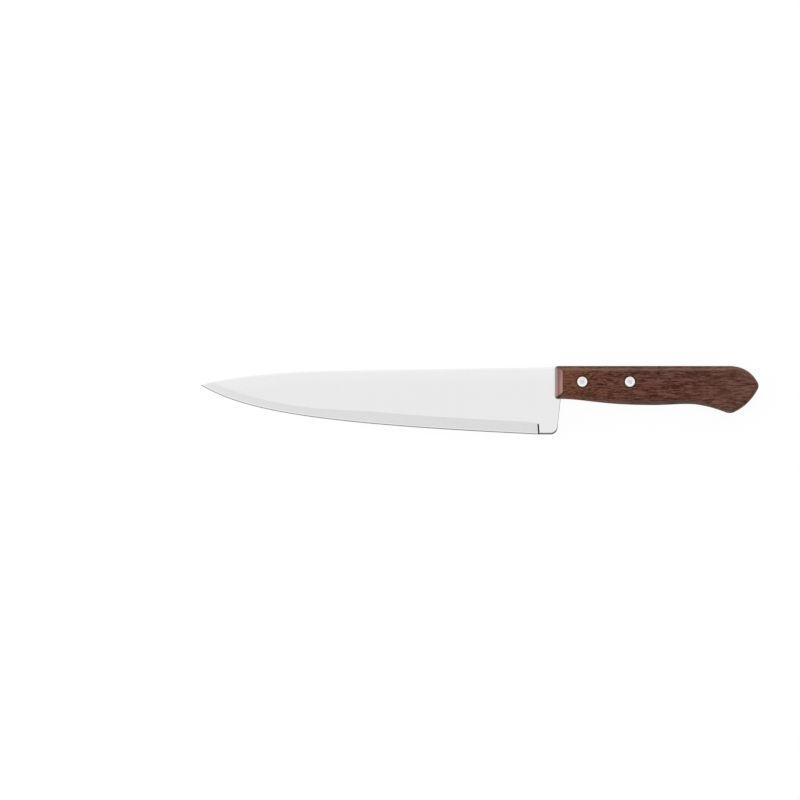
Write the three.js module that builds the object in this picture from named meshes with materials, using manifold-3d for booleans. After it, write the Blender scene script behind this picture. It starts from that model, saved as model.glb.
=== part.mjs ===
// A kitchen knife with a riveted wooden handle, in millimetres.
// The stamped steel blade ends in a half tang. The tang sits in a saw kerf of the one-piece wooden handle,
// and two cutler's rivets hold it there, each a tube half and a pin half that are pressed together.
// The knife lies on its side: +X runs from the tip to the butt, +Y from the cutting edge to the spine, +Z up.
// Its pieces are drawn with x = 0 at the handle's front face, y = 0 along the handle's straight back and
// z = 0 in the middle of the blade.
import * as THREE from "three";
import { mergeVertices } from "three/addons/utils/BufferGeometryUtils.js";
import Module from "manifold-3d";

// Blade outline
const BLADE_LENGTH = 203.2; // from the handle's front face to the tip
const BLADE_HEIGHT = 38.45; // from the spine's start down to the edge at the heel
const BLADE_THICKNESS = 1.5;
const SPINE_STEP = 0.79; // the spine starts this far under the handle's back
const SPINE_SLOPE = 0.94; // degrees by which the straight spine falls towards the tip
const SPINE_CURVE_LENGTH = 68.5; // the front stretch of the spine, which bends down to the tip
const SPINE_CURVE_PULL = 12; // how long the bend keeps the straight spine's direction
const SPINE_TIP_ANGLE = 17; // degrees by which the spine falls at the tip
const SPINE_TIP_PULL = 20.3;
const TIP_DROP = 10.2; // from the spine's start down to the tip
const EDGE_TIP_ANGLE = 30; // degrees by which the cutting edge climbs at the tip
const EDGE_TIP_PULL = 27.8;
const EDGE_HEEL_ANGLE = 2.7; // degrees by which the cutting edge climbs at the heel
const EDGE_HEEL_PULL = 134.9;

// Heel: the last stretch of the blade, which stays unground
const HEEL_LENGTH = 9.8; // in front of the handle's front face
const HEEL_OVERLAP = 3.3; // the heel's back edge lies this far behind the handle's front face
const HEEL_LEAN = 6; // degrees by which the heel's back edge leans towards the tip
const HEEL_RADIUS = 4.2;

// Grinding, on both sides of the blade
const GRIND_WIDTH = 7; // square to the cutting edge
const HONED_WIDTH = 0.6;
const HONED_THICKNESS = 0.42; // of the blade where honing starts
const EDGE_THICKNESS = 0.1; // of the blade at its very edge

// Tang
const TANG_LENGTH = 58.8; // behind the handle's front face
const TANG_HEIGHT = 16.2;
const TANG_RADIUS = 4; // its two rear corners
const TANG_ROOT_RADIUS = 1.2; // the inner corner between heel and tang

// Handle outline, whose places count from the butt
const HANDLE_LENGTH = 117.1; // from the front face to the butt's corner, before that is rounded
const HANDLE_THICKNESS = 15;
const FRONT_HEIGHT = 18.8;
const FRONT_PULL = 18.4;
const BELLY_HEIGHT = 22.4;
const BELLY_PULL = 31.9;
const BELLY_TO_WAIST = 20;
const WAIST_HEIGHT = 21.8;
const WAIST_PULL = 9;
const WAIST_TO_BEAK = 24;
const BEAK_HEIGHT = 27.5; // the low corner near the butt, before that is rounded
const BEAK_FROM_BUTT = 16.6;
const BEAK_CURVE_LENGTH = 15.1; // of the curve that runs down into the beak
const BEAK_SOFTENING = 2.7; // how far the rounding reaches from the corner along each side
const BUTT_DROP = 11.3; // from the handle's back down to the butt's corner
const BUTT_SOFTENING = 2.3;
const SLOPE_CORNER_FROM_BUTT = 5.6; // where the tangents of the slope from beak to butt meet
const SLOPE_CORNER_HEIGHT = 22;
const BACK_CURVE_LENGTH = 17.4; // of the curve from the straight back to the butt
const BACK_CORNER_FROM_BUTT = 6.3; // where the tangents of that curve meet

// Handle edges
const EDGE_ROUNDING = 3; // of the long edges
const CHAMFER_LENGTH = 4.4; // of the flat bevels at the front, along the handle
const CHAMFER_DEPTH = 3.4;
const FRONT_CORNER = 1; // small bevels at the top and the bottom of the front face

// Saw kerf
const KERF_CLEARANCE = 0.1; // on each side of the tang
const KERF_END_CLEARANCE = 1; // behind the tang

// Rivets
const FRONT_RIVET_PLACE = 15.5; // behind the handle's front face
const REAR_RIVET_TO_TANG_END = 16;
const RIVET_DROP = 9; // under the handle's back
const RIVET_HEAD_DIAMETER = 6.1;
const RIVET_HEAD_HEIGHT = 1.6;
const RIVET_HEAD_BEVEL = 0.2; // broken edge of the head's face
const TUBE_DIAMETER = 4.2;
const TUBE_WALL = 0.7;
const TUBE_END_GAP = 1; // from the open end of the tube to the other half's head
const PIN_END_GAP = 1; // from the pin's point to the bottom of the tube's bore
const PIN_POINT = 0.5; // bevel of the pin's point
const RIVET_CLEARANCE = 0.1; // all round the rivets in their holes, and round the pin in the tube

// Cutting
const CUT_REACH = 8; // how far a cut runs out past the piece

// Fineness of the curves
const EDGE_STEPS = 40; // along the cutting edge
const CURVE_STEPS = 10; // along each curve of an outline
const ROUNDING_STEPS = 4; // across the handle's rounded edges
const ROUND_STEPS = 24; // round a rivet or a hole

const wasm = await Module();
wasm.setup();

const radians = THREE.MathUtils.degToRad;

// A point at a distance from another, in the direction of an angle in degrees.
function pointAt(start, angle, distance) {
  const turned = new THREE.Vector2(Math.cos(radians(angle)), Math.sin(radians(angle)));
  return turned.multiplyScalar(distance).add(start);
}

// A point at a distance from a corner, on the way to another point.
function towards(corner, target, distance) {
  return target.clone().sub(corner).setLength(distance).add(corner);
}

// Runs an outline up to a corner and round it, with an arc of the given radius, on the way to the next point.
function roundCorner(path, before, corner, after, radius) {
  const backward = before.clone().sub(corner).normalize();
  const forward = after.clone().sub(corner).normalize();
  const halfAngle = Math.acos(backward.dot(forward)) / 2;
  const middle = backward.clone().add(forward).setLength(radius / Math.sin(halfAngle)).add(corner);
  const reach = radius / Math.tan(halfAngle);
  const start = towards(corner, before, reach).sub(middle);
  const end = towards(corner, after, reach).sub(middle);
  const clockwise = backward.cross(forward) > 0;
  path.absarc(middle.x, middle.y, radius, start.angle(), end.angle(), clockwise);
}

// Closed geometry as a solid that can be cut.
function solidOf(geometry) {
  const bare = geometry.index ? geometry.toNonIndexed() : geometry.clone();
  bare.deleteAttribute("normal");
  bare.deleteAttribute("uv");
  const merged = mergeVertices(bare, 1e-5);
  const vertProperties = new Float32Array(merged.attributes.position.array);
  const triVerts = new Uint32Array(merged.index.array);
  return new wasm.Manifold(new wasm.Mesh({ numProp: 3, vertProperties, triVerts }));
}

// A solid as geometry again.
function geometryOf(solid) {
  const { vertProperties, triVerts } = solid.getMesh();
  const geometry = new THREE.BufferGeometry();
  geometry.setAttribute("position", new THREE.BufferAttribute(new Float32Array(vertProperties), 3));
  geometry.setIndex(new THREE.BufferAttribute(new Uint32Array(triVerts), 1));
  geometry.computeVertexNormals();
  return geometry;
}

// A round rod along z, between two heights, at a place in the knife's plane.
function rodAlongZ(radius, bottom, top, place) {
  const rod = new THREE.CylinderGeometry(radius, radius, top - bottom, ROUND_STEPS);
  rod.rotateX(Math.PI / 2);
  rod.translate(place.x, place.y, (bottom + top) / 2);
  return solidOf(rod);
}

const rivetPlaces = {
  front: new THREE.Vector2(FRONT_RIVET_PLACE, -RIVET_DROP),
  rear: new THREE.Vector2(TANG_LENGTH - REAR_RIVET_TO_TANG_END, -RIVET_DROP),
};
const rivetHoleRadius = TUBE_DIAMETER / 2 + RIVET_CLEARANCE;

// Blade
const spineStart = new THREE.Vector2(0, -SPINE_STEP);
const tip = new THREE.Vector2(-BLADE_LENGTH, spineStart.y - TIP_DROP);
const heelBottom = spineStart.y - BLADE_HEIGHT;
const grindEnd = new THREE.Vector2(-HEEL_LENGTH, heelBottom);
const edgeCurve = new THREE.CubicBezierCurve(
  tip,
  pointAt(tip, -EDGE_TIP_ANGLE, EDGE_TIP_PULL),
  pointAt(grindEnd, 180 - EDGE_HEEL_ANGLE, EDGE_HEEL_PULL),
  grindEnd,
);

function bladeOutline() {
  const straightLength = (BLADE_LENGTH - SPINE_CURVE_LENGTH) / Math.cos(radians(SPINE_SLOPE));
  const bendStart = pointAt(spineStart, 180 + SPINE_SLOPE, straightLength);
  const bendPull = pointAt(bendStart, 180 + SPINE_SLOPE, SPINE_CURVE_PULL);
  const tipPull = pointAt(tip, SPINE_TIP_ANGLE, SPINE_TIP_PULL);
  const tangTop = new THREE.Vector2(TANG_LENGTH, spineStart.y);
  const tangBottom = new THREE.Vector2(TANG_LENGTH, spineStart.y - TANG_HEIGHT);
  const heelBack = new THREE.Vector2(HEEL_OVERLAP, -FRONT_HEIGHT);
  const lean = Math.tan(radians(HEEL_LEAN));
  const tangRoot = new THREE.Vector2(HEEL_OVERLAP + (tangBottom.y - heelBack.y) * lean, tangBottom.y);
  const heelCorner = new THREE.Vector2(HEEL_OVERLAP + (heelBottom - heelBack.y) * lean, heelBottom);

  const outline = new THREE.Shape();
  outline.moveTo(spineStart.x, spineStart.y);
  outline.lineTo(bendStart.x, bendStart.y);
  outline.bezierCurveTo(bendPull.x, bendPull.y, tipPull.x, tipPull.y, tip.x, tip.y);
  for (const point of edgeCurve.getSpacedPoints(EDGE_STEPS).slice(1)) {
    outline.lineTo(point.x, point.y);
  }
  roundCorner(outline, grindEnd, heelCorner, tangRoot, HEEL_RADIUS);
  roundCorner(outline, heelCorner, tangRoot, tangBottom, TANG_ROOT_RADIUS);
  roundCorner(outline, tangRoot, tangBottom, tangTop, TANG_RADIUS);
  roundCorner(outline, tangBottom, tangTop, spineStart, TANG_RADIUS);
  outline.closePath();
  return outline;
}

// What grinding takes off one side of the blade: a section carried along the cutting edge, from two steps
// before the tip to the heel. In the section, x is the height over the blade's middle and y the depth from
// the cutting edge.
function grindingWaste(side) {
  const stepsBeforeTip = 2;
  const stepLength = edgeCurve.getLength() / EDGE_STEPS;
  const beforeTip = pointAt(tip, 180 - EDGE_TIP_ANGLE, stepsBeforeTip * stepLength);
  const path = new THREE.CurvePath();
  const [start, startPull, endPull, end] = [edgeCurve.v0, edgeCurve.v1, edgeCurve.v2, edgeCurve.v3].map(
    (point) => new THREE.Vector3(point.x, point.y, 0),
  );
  path.add(new THREE.LineCurve3(new THREE.Vector3(beforeTip.x, beforeTip.y, 0), start));
  path.add(new THREE.CubicBezierCurve3(start, startPull, endPull, end));

  const faceHeight = (side * BLADE_THICKNESS) / 2;
  const honedHeight = (side * HONED_THICKNESS) / 2;
  const edgeHeight = (side * EDGE_THICKNESS) / 2;
  const outside = faceHeight + side * CUT_REACH;
  const section = new THREE.Shape();
  section.moveTo(edgeHeight, 0);
  section.lineTo(honedHeight, HONED_WIDTH);
  section.lineTo(faceHeight, GRIND_WIDTH);
  section.lineTo(outside, GRIND_WIDTH);
  section.lineTo(outside, -CUT_REACH);
  section.lineTo(edgeHeight, -CUT_REACH);
  section.closePath();
  const sweep = new THREE.ExtrudeGeometry(section, {
    extrudePath: path,
    steps: stepsBeforeTip + EDGE_STEPS,
    bevelEnabled: false,
  });
  return solidOf(sweep);
}

function bladeGeometry() {
  const blank = new THREE.ExtrudeGeometry(bladeOutline(), {
    depth: BLADE_THICKNESS,
    bevelEnabled: false,
    curveSegments: CURVE_STEPS,
  });
  blank.translate(0, 0, -BLADE_THICKNESS / 2);
  let blade = solidOf(blank);
  for (const place of Object.values(rivetPlaces)) {
    blade = blade.subtract(rodAlongZ(rivetHoleRadius, -CUT_REACH, CUT_REACH, place));
  }
  for (const side of [-1, 1]) {
    blade = blade.subtract(grindingWaste(side));
  }
  return geometryOf(blade);
}

// Handle
function handleOutline() {
  const frontBottom = new THREE.Vector2(0, -FRONT_HEIGHT);
  const beak = new THREE.Vector2(HANDLE_LENGTH - BEAK_FROM_BUTT, -BEAK_HEIGHT);
  const waist = new THREE.Vector2(beak.x - WAIST_TO_BEAK, -WAIST_HEIGHT);
  const belly = new THREE.Vector2(waist.x - BELLY_TO_WAIST, -BELLY_HEIGHT);
  const beakCorner = new THREE.Vector2(beak.x - BEAK_CURVE_LENGTH, waist.y);
  const butt = new THREE.Vector2(HANDLE_LENGTH, -BUTT_DROP);
  const slopeCorner = new THREE.Vector2(butt.x - SLOPE_CORNER_FROM_BUTT, -SLOPE_CORNER_HEIGHT);
  const backCorner = new THREE.Vector2(butt.x - BACK_CORNER_FROM_BUTT, 0);
  const backEnd = new THREE.Vector2(butt.x - BACK_CURVE_LENGTH, 0);
  const beakStart = towards(beak, beakCorner, BEAK_SOFTENING);
  const beakEnd = towards(beak, slopeCorner, BEAK_SOFTENING);
  const buttStart = towards(butt, slopeCorner, BUTT_SOFTENING);
  const buttEnd = towards(butt, backCorner, BUTT_SOFTENING);

  const outline = new THREE.Shape();
  outline.moveTo(frontBottom.x, frontBottom.y);
  outline.bezierCurveTo(FRONT_PULL, frontBottom.y, belly.x - BELLY_PULL, belly.y, belly.x, belly.y);
  outline.bezierCurveTo(belly.x + WAIST_PULL, belly.y, waist.x - WAIST_PULL, waist.y, waist.x, waist.y);
  outline.quadraticCurveTo(beakCorner.x, beakCorner.y, beakStart.x, beakStart.y);
  outline.quadraticCurveTo(beak.x, beak.y, beakEnd.x, beakEnd.y);
  outline.quadraticCurveTo(slopeCorner.x, slopeCorner.y, buttStart.x, buttStart.y);
  outline.quadraticCurveTo(butt.x, butt.y, buttEnd.x, buttEnd.y);
  outline.quadraticCurveTo(backCorner.x, backCorner.y, backEnd.x, backEnd.y);
  outline.lineTo(0, 0);
  outline.closePath();
  return outline;
}

// A prism along y with a triangular section, which bevels the handle's front on one side.
function chamferWaste(side) {
  const face = HANDLE_THICKNESS / 2;
  const rise = (CUT_REACH * CHAMFER_DEPTH) / CHAMFER_LENGTH;
  const section = new THREE.Shape();
  section.moveTo(-CUT_REACH, side * (face - CHAMFER_DEPTH - rise));
  section.lineTo(CHAMFER_LENGTH + CUT_REACH, side * (face + rise));
  section.lineTo(-CUT_REACH, side * (face + rise));
  section.closePath();
  const depth = FRONT_HEIGHT + 2 * CUT_REACH;
  const prism = new THREE.ExtrudeGeometry(section, { depth, bevelEnabled: false });
  prism.rotateX(Math.PI / 2);
  prism.translate(0, CUT_REACH, 0);
  return solidOf(prism);
}

// A prism along z that breaks the front face's corner at a height. Outward is 1 at its top, -1 at its bottom.
function cornerWaste(height, outward) {
  const section = new THREE.Shape();
  section.moveTo(-CUT_REACH, height - outward * (FRONT_CORNER + CUT_REACH));
  section.lineTo(FRONT_CORNER + CUT_REACH, height + outward * CUT_REACH);
  section.lineTo(-CUT_REACH, height + outward * CUT_REACH);
  section.closePath();
  const depth = HANDLE_THICKNESS + 2 * CUT_REACH;
  const prism = new THREE.ExtrudeGeometry(section, { depth, bevelEnabled: false });
  prism.translate(0, 0, -depth / 2);
  return solidOf(prism);
}

function handleGeometry() {
  const body = new THREE.ExtrudeGeometry(handleOutline(), {
    depth: HANDLE_THICKNESS - 2 * EDGE_ROUNDING,
    curveSegments: CURVE_STEPS,
    bevelSize: EDGE_ROUNDING,
    bevelOffset: -EDGE_ROUNDING,
    bevelThickness: EDGE_ROUNDING,
    bevelSegments: ROUNDING_STEPS,
  });
  body.translate(0, 0, EDGE_ROUNDING - HANDLE_THICKNESS / 2);
  let handle = solidOf(body);

  const kerfEnd = TANG_LENGTH + KERF_END_CLEARANCE;
  const kerfLength = kerfEnd + CUT_REACH;
  const kerfHeight = BEAK_HEIGHT + 2 * CUT_REACH;
  const kerfWidth = BLADE_THICKNESS + 2 * KERF_CLEARANCE;
  const kerf = new THREE.BoxGeometry(kerfLength, kerfHeight, kerfWidth);
  kerf.translate(kerfEnd - kerfLength / 2, -BEAK_HEIGHT / 2, 0);
  handle = handle.subtract(solidOf(kerf));

  for (const side of [-1, 1]) {
    handle = handle.subtract(chamferWaste(side));
  }
  handle = handle.subtract(cornerWaste(0, 1));
  handle = handle.subtract(cornerWaste(-FRONT_HEIGHT, -1));

  const outside = HANDLE_THICKNESS / 2 + CUT_REACH;
  const seat = HANDLE_THICKNESS / 2 - RIVET_HEAD_HEIGHT - RIVET_CLEARANCE;
  const headHoleRadius = RIVET_HEAD_DIAMETER / 2 + RIVET_CLEARANCE;
  for (const place of Object.values(rivetPlaces)) {
    handle = handle.subtract(rodAlongZ(rivetHoleRadius, -outside, outside, place));
    handle = handle.subtract(rodAlongZ(headHoleRadius, seat, outside, place));
    handle = handle.subtract(rodAlongZ(headHoleRadius, -outside, -seat, place));
  }
  return geometryOf(handle);
}

// Rivets: each half is turned about the y axis, with the face of its head at the top, flush with the handle
const headFace = HANDLE_THICKNESS / 2;
const underHead = headFace - RIVET_HEAD_HEIGHT;
const boreRadius = TUBE_DIAMETER / 2 - TUBE_WALL;

// The head's side and face, from its underside to the axis.
function headProfile() {
  const radius = RIVET_HEAD_DIAMETER / 2;
  return [
    new THREE.Vector2(radius, underHead),
    new THREE.Vector2(radius, headFace - RIVET_HEAD_BEVEL),
    new THREE.Vector2(radius - RIVET_HEAD_BEVEL, headFace),
    new THREE.Vector2(0, headFace),
  ];
}

function tubeGeometry() {
  const openEnd = TUBE_END_GAP - underHead;
  const profile = [
    new THREE.Vector2(0, underHead),
    new THREE.Vector2(boreRadius, underHead),
    new THREE.Vector2(boreRadius, openEnd),
    new THREE.Vector2(TUBE_DIAMETER / 2, openEnd),
    new THREE.Vector2(TUBE_DIAMETER / 2, underHead),
    ...headProfile(),
  ];
  return new THREE.LatheGeometry(profile, ROUND_STEPS);
}

function pinGeometry() {
  const pinRadius = boreRadius - RIVET_CLEARANCE;
  const point = PIN_END_GAP - underHead;
  const profile = [
    new THREE.Vector2(0, point),
    new THREE.Vector2(pinRadius - PIN_POINT, point),
    new THREE.Vector2(pinRadius, point + PIN_POINT),
    new THREE.Vector2(pinRadius, underHead),
    ...headProfile(),
  ];
  return new THREE.LatheGeometry(profile, ROUND_STEPS);
}

// Materials
const steel = new THREE.MeshStandardMaterial({ color: 0xe6e7e8, roughness: 0.3, metalness: 1 });
const wood = new THREE.MeshStandardMaterial({ color: 0x5c3b2d, roughness: 0.55, metalness: 0 });
const aluminium = new THREE.MeshStandardMaterial({ color: 0xdfe1e4, roughness: 0.35, metalness: 1 });

// Assembly
function piece(name, geometry, material) {
  const mesh = new THREE.Mesh(geometry, material);
  mesh.name = name;
  return mesh;
}

const knife = new THREE.Group();
knife.add(piece("blade", bladeGeometry(), steel.clone()));
knife.add(piece("handle", handleGeometry(), wood.clone()));
for (const [name, place] of Object.entries(rivetPlaces)) {
  const tube = piece(`${name}_rivet_tube`, tubeGeometry(), aluminium.clone());
  const pin = piece(`${name}_rivet_pin`, pinGeometry(), aluminium.clone());
  tube.rotation.x = Math.PI / 2;
  pin.rotation.x = -Math.PI / 2;
  const rivet = new THREE.Group();
  rivet.position.set(place.x, place.y, 0);
  rivet.add(tube, pin);
  knife.add(rivet);
}

// The origin lies on the surface that the knife lies on, under the middle of its outline.
const extent = new THREE.Box3().setFromObject(knife);
const middle = extent.getCenter(new THREE.Vector3());
knife.position.set(-middle.x, -middle.y, -extent.min.z);

export default knife;
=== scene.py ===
import math

import bmesh
import bpy
import numpy as np
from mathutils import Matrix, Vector
from mathutils.geometry import delaunay_2d_cdt


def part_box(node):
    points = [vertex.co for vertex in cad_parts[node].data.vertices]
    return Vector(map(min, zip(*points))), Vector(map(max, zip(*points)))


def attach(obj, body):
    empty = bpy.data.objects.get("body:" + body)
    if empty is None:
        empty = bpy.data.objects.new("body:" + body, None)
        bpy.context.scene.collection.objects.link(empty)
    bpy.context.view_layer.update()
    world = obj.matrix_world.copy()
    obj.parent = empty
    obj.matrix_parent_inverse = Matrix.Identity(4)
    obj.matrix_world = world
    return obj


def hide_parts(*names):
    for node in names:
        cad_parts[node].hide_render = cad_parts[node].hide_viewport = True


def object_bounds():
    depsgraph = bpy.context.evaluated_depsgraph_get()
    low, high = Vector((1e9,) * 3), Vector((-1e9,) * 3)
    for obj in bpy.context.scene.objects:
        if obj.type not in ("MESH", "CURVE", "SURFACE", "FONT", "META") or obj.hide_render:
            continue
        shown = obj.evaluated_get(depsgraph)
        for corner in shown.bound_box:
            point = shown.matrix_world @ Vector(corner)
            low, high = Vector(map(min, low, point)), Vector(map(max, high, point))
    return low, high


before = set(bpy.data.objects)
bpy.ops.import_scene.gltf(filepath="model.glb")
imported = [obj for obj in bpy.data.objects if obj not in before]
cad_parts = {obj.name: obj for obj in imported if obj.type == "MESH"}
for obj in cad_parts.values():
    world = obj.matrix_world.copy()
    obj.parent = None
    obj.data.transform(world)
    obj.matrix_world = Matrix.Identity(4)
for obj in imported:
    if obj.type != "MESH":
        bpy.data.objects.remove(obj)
cad_low, cad_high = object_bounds()

# Blade
# One sheet of stainless steel, stamped to its outline, thinned towards the tip and polished. Both sides are
# ground flat along the cutting edge as far as a step at the heel, and the edge is honed. Behind the heel the
# sheet goes on as a half tang with two holes, which sits in the handle's saw kerf.
MM = 0.001
handle_low, handle_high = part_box("handle")
blade_low, blade_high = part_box("blade")
front_x = handle_low.x  # the handle's front face
back_y = handle_high.y  # the handle's straight back
middle_z = (blade_low.z + blade_high.z) / 2
blade_half = (blade_high.z - blade_low.z) / 2
tip_half = 0.36 * MM  # half the thickness at the tip
thins_from = 60 * MM  # in front of the handle
thins_to = 200 * MM

spine_slope = 0.94  # degrees by which the straight spine falls towards the tip
spine_curve_length = 68.5 * MM  # the front stretch of the spine, which bends down to the tip
spine_curve_pull = 12 * MM
spine_tip_angle = 17  # degrees
spine_tip_pull = 20.3 * MM
spine_softening = 0.12 * MM  # polishing rounds the spine's two edges
tip_drop = 10.2 * MM
edge_tip_angle = 30  # degrees
edge_tip_pull = 27.8 * MM
edge_heel_angle = 2.7  # degrees
edge_heel_pull = 134.9 * MM

heel_length = 9.8 * MM
heel_overlap = 3.3 * MM  # the heel's back edge lies this far behind the handle's front face
heel_lean = math.radians(6)
heel_radius = 4.2 * MM
stamped_roll = 0.6 * MM  # the stamping tool pulls the heel's edges round
handle_front_height = 18.8 * MM

grind_width = 7 * MM  # square to the cutting edge
grind_tip_width = 5.0 * MM
grind_narrows_from = 102 * MM  # in front of the handle
grind_narrows_to = 149 * MM
grind_step_width = 6.4 * MM
grind_step_narrowing = 5 * MM  # the stretch in front of the step where the bevel narrows to that width
grind_step_run = 1.1 * MM  # the sloping wall where the wheel was lifted off
grind_step_slant = 0.07
honed_width = 0.6 * MM
honed_half = 0.21 * MM
honed_tip_half = 0.15 * MM
edge_half = 0.05 * MM

tang_height = 16.2 * MM
tang_radius = 4 * MM
tang_root_radius = 1.2 * MM
tang_run_in = 1 * MM  # from the root's curve to the flat sheet
shank_hole_radius = 2.2 * MM

tip_stretch = 8 * MM  # the points lie closest together in this stretch at the tip
step_stretch = 1.5 * grind_step_run  # and in one this long on each side of the step
step_points = 56
circle_points = 48  # round each hole and each rivet
same_place = 0.001 * MM  # points nearer to each other than this are one point
shortest_edge = 0.0001 * MM
sharp_angle = math.radians(30)


def bezier(points, count):
    """Points on a Bezier curve: at each share of the way, neighbouring control points are joined and the
    places at that share taken as the next control points, until one is left."""
    share = np.linspace(0, 1, count)[:, None]
    layer = [np.array(point)[None] for point in points]
    while len(layer) > 1:
        layer = [start + (end - start) * share for start, end in zip(layer, layer[1:])]
    return layer[0]


def away(point, degrees, distance):
    """The point at a distance from another, in a direction counted from +X towards +Y."""
    angle = math.radians(degrees)
    return np.array(point) + distance * np.array([math.cos(angle), math.sin(angle)])


def arc(middle, radius, start, end, count):
    """Points on a circle between two angles in radians."""
    angle = np.linspace(start, end, count)
    return np.array(middle) + radius * np.stack([np.cos(angle), np.sin(angle)], axis=1)


def circle(middle, radius):
    """Points round a whole circle, the first one not repeated at the end."""
    return arc(middle, radius, 0, 2 * math.pi, circle_points + 1)[:-1]


def smooth(value, low, high):
    """0 up to low, 1 from high on, and an S-shaped rise between: 3 t squared less 2 t cubed."""
    share = np.clip((value - low) / (high - low), 0, 1)
    return share * share * (3 - 2 * share)


def roll(distance, radius):
    """How far a rounded edge lies under the face, at a distance in from the edge: a quarter circle."""
    short = np.clip(radius - distance, 0, radius)
    return radius - np.sqrt(radius * radius - short * short)


def at_height(points, height):
    """Flat points, given a height."""
    return np.insert(points, 2, height, axis=-1)


def grid(points, wrap=False):
    """A block made of a grid of points: its points in one list, and the four-sided faces between neighbours.
    With wrap, the last column is joined to the first."""
    rows, columns = points.shape[:2]
    index = np.arange(rows * columns).reshape(rows, columns)
    if wrap:
        index = np.hstack([index, index[:, :1]])
    corners = [index[:-1, :-1], index[:-1, 1:], index[1:, 1:], index[1:, :-1]]
    return points.reshape(-1, 3), np.stack(corners, axis=-1).reshape(-1, 4)


def flat_sheet(loop, holes, height):
    """A flat block inside a loop of points, less round holes, each a middle and a radius. The loop and the
    holes' circles bound a Delaunay triangulation, and the triangles inside a hole are dropped."""
    loops = [loop] + [circle(middle, radius) for middle, radius in holes]
    edges = []
    first = 0
    for ring in loops:
        index = first + np.arange(len(ring))
        edges += np.stack([index, np.roll(index, -1)], axis=1).tolist()
        first += len(ring)
    points = [Vector(point) for point in np.vstack(loops) / MM]
    triangles_inside = 1
    nearest = 1e-6
    triangulated = delaunay_2d_cdt(points, edges, [], triangles_inside, nearest)
    corners = np.array([point[:] for point in triangulated[0]]) * MM
    faces = np.array(triangulated[2])
    centres = corners[faces].mean(axis=1)
    for middle, radius in holes:
        outside = np.linalg.norm(centres - middle, axis=1) > radius
        faces = faces[outside]
        centres = centres[outside]
    return at_height(corners, height), faces


def shaft(middle, radii, heights):
    """A round block about an upright axis: a ring of points at each radius and height."""
    rings = np.array(middle) + np.array(radii)[:, None, None] * circle((0, 0), 1)
    depth = np.broadcast_to(np.array(heights)[:, None, None], rings.shape[:2] + (1,))
    return grid(np.concatenate([rings, depth], axis=2), wrap=True)


def make_piece(name, blocks, marks):
    """One closed mesh from blocks of points and faces. Points in the same place are merged, faces are turned
    outwards, and edges past the sharp angle stay sharp. Marks are numbers for the first blocks' points."""
    faces = []
    first = 0
    for points, corners in blocks:
        faces += (corners + first).tolist()
        first += len(points)
    mesh = bpy.data.meshes.new(name)
    mesh.from_pydata(np.vstack([points for points, corners in blocks]), [], faces)
    for mark, values in marks.items():
        padded = np.zeros(first, dtype=np.float32)
        padded[: values.size] = values.ravel()
        mesh.attributes.new(mark, "FLOAT", "POINT").data.foreach_set("value", padded)
    joined = bmesh.new()
    joined.from_mesh(mesh)
    bmesh.ops.remove_doubles(joined, verts=joined.verts, dist=same_place)
    bmesh.ops.dissolve_degenerate(joined, edges=joined.edges, dist=shortest_edge)
    bmesh.ops.recalc_face_normals(joined, faces=joined.faces)
    joined.to_mesh(mesh)
    joined.free()
    mesh.shade_smooth()
    mesh.set_sharp_from_angle(angle=sharp_angle)
    piece = bpy.data.objects.new(name, mesh)
    bpy.context.scene.collection.objects.link(piece)
    return piece


# The blade's outline: the spine, and from the tip back the cutting edge, the heel and the tang's root.
spine_start = np.array([front_x, blade_high.y])
tip = np.array([blade_low.x, spine_start[1] - tip_drop])
heel_y = blade_low.y
grind_end = np.array([front_x - heel_length, heel_y])
tang_bottom = spine_start[1] - tang_height
straight_length = (front_x - tip[0] - spine_curve_length) / math.cos(math.radians(spine_slope))
bend_start = away(spine_start, 180 + spine_slope, straight_length)
bend_pull = away(bend_start, 180 + spine_slope, spine_curve_pull)
spine_bend = bezier([tip, away(tip, spine_tip_angle, spine_tip_pull), bend_pull, bend_start], count=200)
spine_line = np.vstack([spine_bend, [spine_start, (blade_high.x, spine_start[1])]])
edge_pull = away(grind_end, 180 - edge_heel_angle, edge_heel_pull)
edge_line = bezier([tip, away(tip, -edge_tip_angle, edge_tip_pull), edge_pull, grind_end], count=800)

lean_run = math.tan(heel_lean)
heel_back = np.array([front_x + heel_overlap, back_y - handle_front_height])
corner_y = heel_y + heel_radius
corner_end = corner_y - heel_radius * math.sin(heel_lean)
corner_x = heel_back[0] + (corner_end - heel_back[1]) * lean_run - heel_radius * math.cos(heel_lean)
root_y = tang_bottom - tang_root_radius
root_start = root_y + tang_root_radius * math.sin(heel_lean)
root_x = heel_back[0] + (root_start - heel_back[1]) * lean_run + tang_root_radius * math.cos(heel_lean)
tang_start = root_x + tang_run_in

fine_from = grind_end[0] - step_stretch
fine_to = grind_end + (step_stretch, 0)
ground_x = np.concatenate([
    tip[0] + tip_stretch * np.linspace(0, 1, 60, endpoint=False) ** 1.5,
    np.linspace(tip[0] + tip_stretch, fine_from, 240, endpoint=False),
    np.linspace(fine_from, grind_end[0], step_points),
])
lower_line = np.vstack([
    np.stack([ground_x, np.interp(ground_x, *edge_line.T)], axis=1),
    np.linspace(grind_end, fine_to, step_points)[1:],
    np.linspace(fine_to, (corner_x, heel_y), 20)[1:],
    arc((corner_x, corner_y), heel_radius, -math.pi / 2, -heel_lean, count=24)[1:],
    np.linspace(
        (corner_x + heel_radius * math.cos(heel_lean), corner_end),
        (root_x - tang_root_radius * math.cos(heel_lean), root_start),
        24,
    )[1:],
    arc((root_x, root_y), tang_root_radius, math.pi - heel_lean, math.pi / 2, count=10)[1:],
    [(tang_start, tang_bottom)],
])
station_x, lower_y = lower_line.T[:, :, None]
upper_y = np.interp(station_x, *spine_line.T)
blade_depth = upper_y - lower_y
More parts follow.
